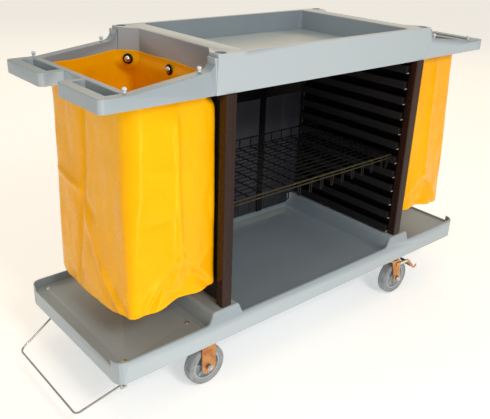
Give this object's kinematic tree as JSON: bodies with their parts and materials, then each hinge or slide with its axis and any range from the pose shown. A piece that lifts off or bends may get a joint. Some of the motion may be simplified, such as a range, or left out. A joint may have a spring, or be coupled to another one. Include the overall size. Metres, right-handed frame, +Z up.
{
  "type": "housekeeping cart",
  "caption": "Housekeeping cart with a recessed top tray, an open cabinet with a wire shelf, a hung bag at each end, fixed and swivel casters and a folding wire bail.",
  "frame": {"origin": "bottom centre of the whole object, on the floor, the bail included", "axes": "+X along the cart away from the bail, +Y towards the cabinet's closed back, +Z up"},
  "size_m": [1.604, 0.5396, 0.989],
  "materials": {
    "grey_plastic": "satin moulded plastic, blue grey",
    "brown_plastic": "dark brown, semi gloss",
    "black_plastic": "black, satin",
    "slate_plastic": "dark slate, satin",
    "black_wire": "black coated wire",
    "bag_vinyl": "glossy yellow coated fabric",
    "zinc_steel": "yellow zinc plate with a copper tone",
    "bright_steel": "bright plated",
    "grey_rubber": "grey rubber",
    "grey_hub": "grey moulded hub",
    "bail_steel": "dull plated wire",
    "peg_plastic": "pale plastic"
  },
  "bodies": {
    "cart": {"base_platform": "grey_plastic", "top_deck": "grey_plastic", "bag_frame_left": "grey_plastic", "side_panel_left": "black_plastic", "bag_left": "bag_vinyl", "bag_stud_left_front": "bright_steel", "bag_stud_left_middle": "bright_steel", "bag_stud_left_back": "bright_steel", "bag_peg_left_outer_front": "peg_plastic", "bag_peg_left_outer_back": "peg_plastic", "bag_peg_left_inner_front": "peg_plastic", "bag_peg_left_inner_back": "peg_plastic", "corner_post_left_front": "brown_plastic", "corner_post_left_back": "brown_plastic", "bag_frame_right": "grey_plastic", "side_panel_right": "black_plastic", "bag_right": "bag_vinyl", "bag_stud_right_front": "bright_steel", "bag_stud_right_middle": "bright_steel", "bag_stud_right_back": "bright_steel", "bag_peg_right_outer_front": "peg_plastic", "bag_peg_right_outer_back": "peg_plastic", "bag_peg_right_inner_front": "peg_plastic", "bag_peg_right_inner_back": "peg_plastic", "corner_post_right_front": "brown_plastic", "corner_post_right_back": "brown_plastic", "back_panel_left": "slate_plastic", "back_panel_middle": "slate_plastic", "back_panel_right": "slate_plastic", "back_frame": "black_plastic", "bail_bolt_front": "bright_steel", "caster_bolt_front": "bright_steel", "bail_bracket_front": "zinc_steel", "fixed_caster_front_bracket": "zinc_steel", "fixed_caster_front_axle": "bright_steel", "swivel_caster_front_top_plate": "zinc_steel", "swivel_caster_front_kingpin": "bright_steel", "bail_bolt_back": "bright_steel", "caster_bolt_back": "bright_steel", "bail_bracket_back": "zinc_steel", "fixed_caster_back_bracket": "zinc_steel", "fixed_caster_back_axle": "bright_steel", "swivel_caster_back_top_plate": "zinc_steel", "swivel_caster_back_kingpin": "bright_steel"},
    "shelf": {"wire_shelf": "black_wire"},
    "bail": {"bail": "bail_steel"},
    "fixed_wheel_front": {"fixed_caster_front_hub": "grey_hub", "fixed_caster_front_tyre": "grey_rubber"},
    "fixed_wheel_back": {"fixed_caster_back_hub": "grey_hub", "fixed_caster_back_tyre": "grey_rubber"},
    "swivel_front": {"swivel_caster_front_fork": "zinc_steel", "swivel_caster_front_axle": "bright_steel"},
    "swivel_wheel_front": {"swivel_caster_front_hub": "grey_hub", "swivel_caster_front_tyre": "grey_rubber"},
    "brake_front": {"swivel_caster_front_brake_pedal": "zinc_steel"},
    "swivel_back": {"swivel_caster_back_fork": "zinc_steel", "swivel_caster_back_axle": "bright_steel"},
    "swivel_wheel_back": {"swivel_caster_back_hub": "grey_hub", "swivel_caster_back_tyre": "grey_rubber"},
    "brake_back": {"swivel_caster_back_brake_pedal": "zinc_steel"}
  },
  "joints": [
    {"name": "shelf_slide", "type": "slide", "parent": "cart", "child": "shelf", "axis": [0, -1, 0], "range_m": [0, 0.3]},
    {"name": "bail_fold", "type": "hinge", "parent": "cart", "child": "bail", "pos_m": [-0.671, 0, 0.115], "axis": [0, 1, 0], "range_deg": [0, 65]},
    {"name": "fixed_wheel_front_spin", "type": "hinge", "parent": "cart", "child": "fixed_wheel_front", "pos_m": [-0.399, -0.222, 0.065], "axis": [0, 1, 0], "continuous": true},
    {"name": "fixed_wheel_back_spin", "type": "hinge", "parent": "cart", "child": "fixed_wheel_back", "pos_m": [-0.399, 0.222, 0.065], "axis": [0, 1, 0], "continuous": true},
    {"name": "swivel_front_turn", "type": "hinge", "parent": "cart", "child": "swivel_front", "pos_m": [0.459, -0.234, 0.149], "axis": [0, 0, 1], "continuous": true},
    {"name": "swivel_wheel_front_spin", "type": "hinge", "parent": "swivel_front", "child": "swivel_wheel_front", "pos_m": [0.485, -0.234, 0.065], "axis": [0, 1, 0], "continuous": true},
    {"name": "brake_front_press", "type": "hinge", "parent": "swivel_front", "child": "brake_front", "pos_m": [0.477, -0.234, 0.127], "axis": [0, 1, 0], "range_deg": [0, 8]},
    {"name": "swivel_back_turn", "type": "hinge", "parent": "cart", "child": "swivel_back", "pos_m": [0.459, 0.234, 0.149], "axis": [0, 0, 1], "continuous": true},
    {"name": "swivel_wheel_back_spin", "type": "hinge", "parent": "swivel_back", "child": "swivel_wheel_back", "pos_m": [0.485, 0.234, 0.065], "axis": [0, 1, 0], "continuous": true},
    {"name": "brake_back_press", "type": "hinge", "parent": "swivel_back", "child": "brake_back", "pos_m": [0.477, 0.234, 0.127], "axis": [0, 1, 0], "range_deg": [0, 8]}
  ]
}
